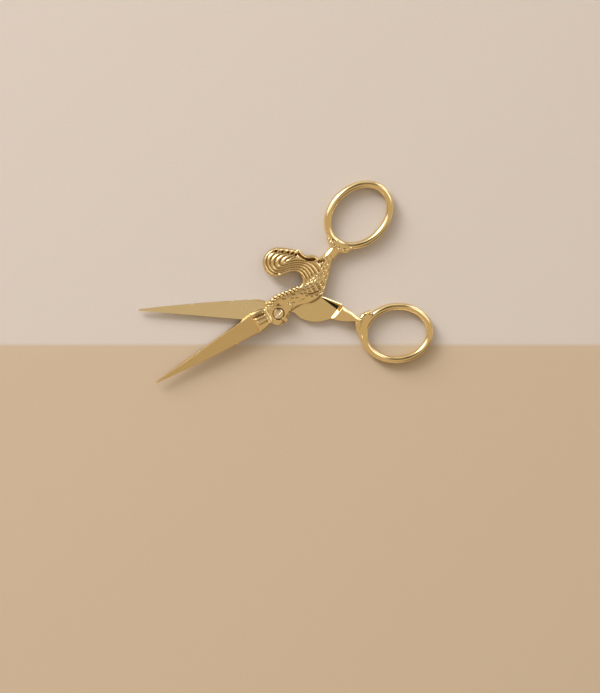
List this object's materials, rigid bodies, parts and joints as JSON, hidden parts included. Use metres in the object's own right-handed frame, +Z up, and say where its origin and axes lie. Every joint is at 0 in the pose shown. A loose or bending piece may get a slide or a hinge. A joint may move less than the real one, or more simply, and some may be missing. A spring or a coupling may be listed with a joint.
{
  "type": "embroidery scissors",
  "caption": "Small gold-plated embroidery scissors with slim pointed blades, oval finger rings and a cast bird with a curled tail along one half, hinged on a slotted screw.",
  "frame": {"origin": "on the pivot axis at the underside, where the scissors rest on a table", "axes": "+X from the pivot towards the finger rings, midway between the two open blades; +Z up, out of the face with the bird"},
  "size_m": [0.109, 0.072, 0.004],
  "materials": {
    "gold_plate": "polished gold plate, with a finely ground blade",
    "gold_plate_back": "polished gold plate, with finely ground blade and lap faces",
    "screw": "polished, paler where the plating is thin"
  },
  "bodies": {
    "back": {"back_half": "gold_plate_back", "pivot_screw": "screw"},
    "front": {"front_half": "gold_plate"}
  },
  "joints": [
    {"name": "pivot", "type": "hinge", "parent": "back", "child": "front", "pos_m": [0, 0, 0], "axis": [0, 0, 1], "range_deg": [-30.77, 69.23]}
  ]
}
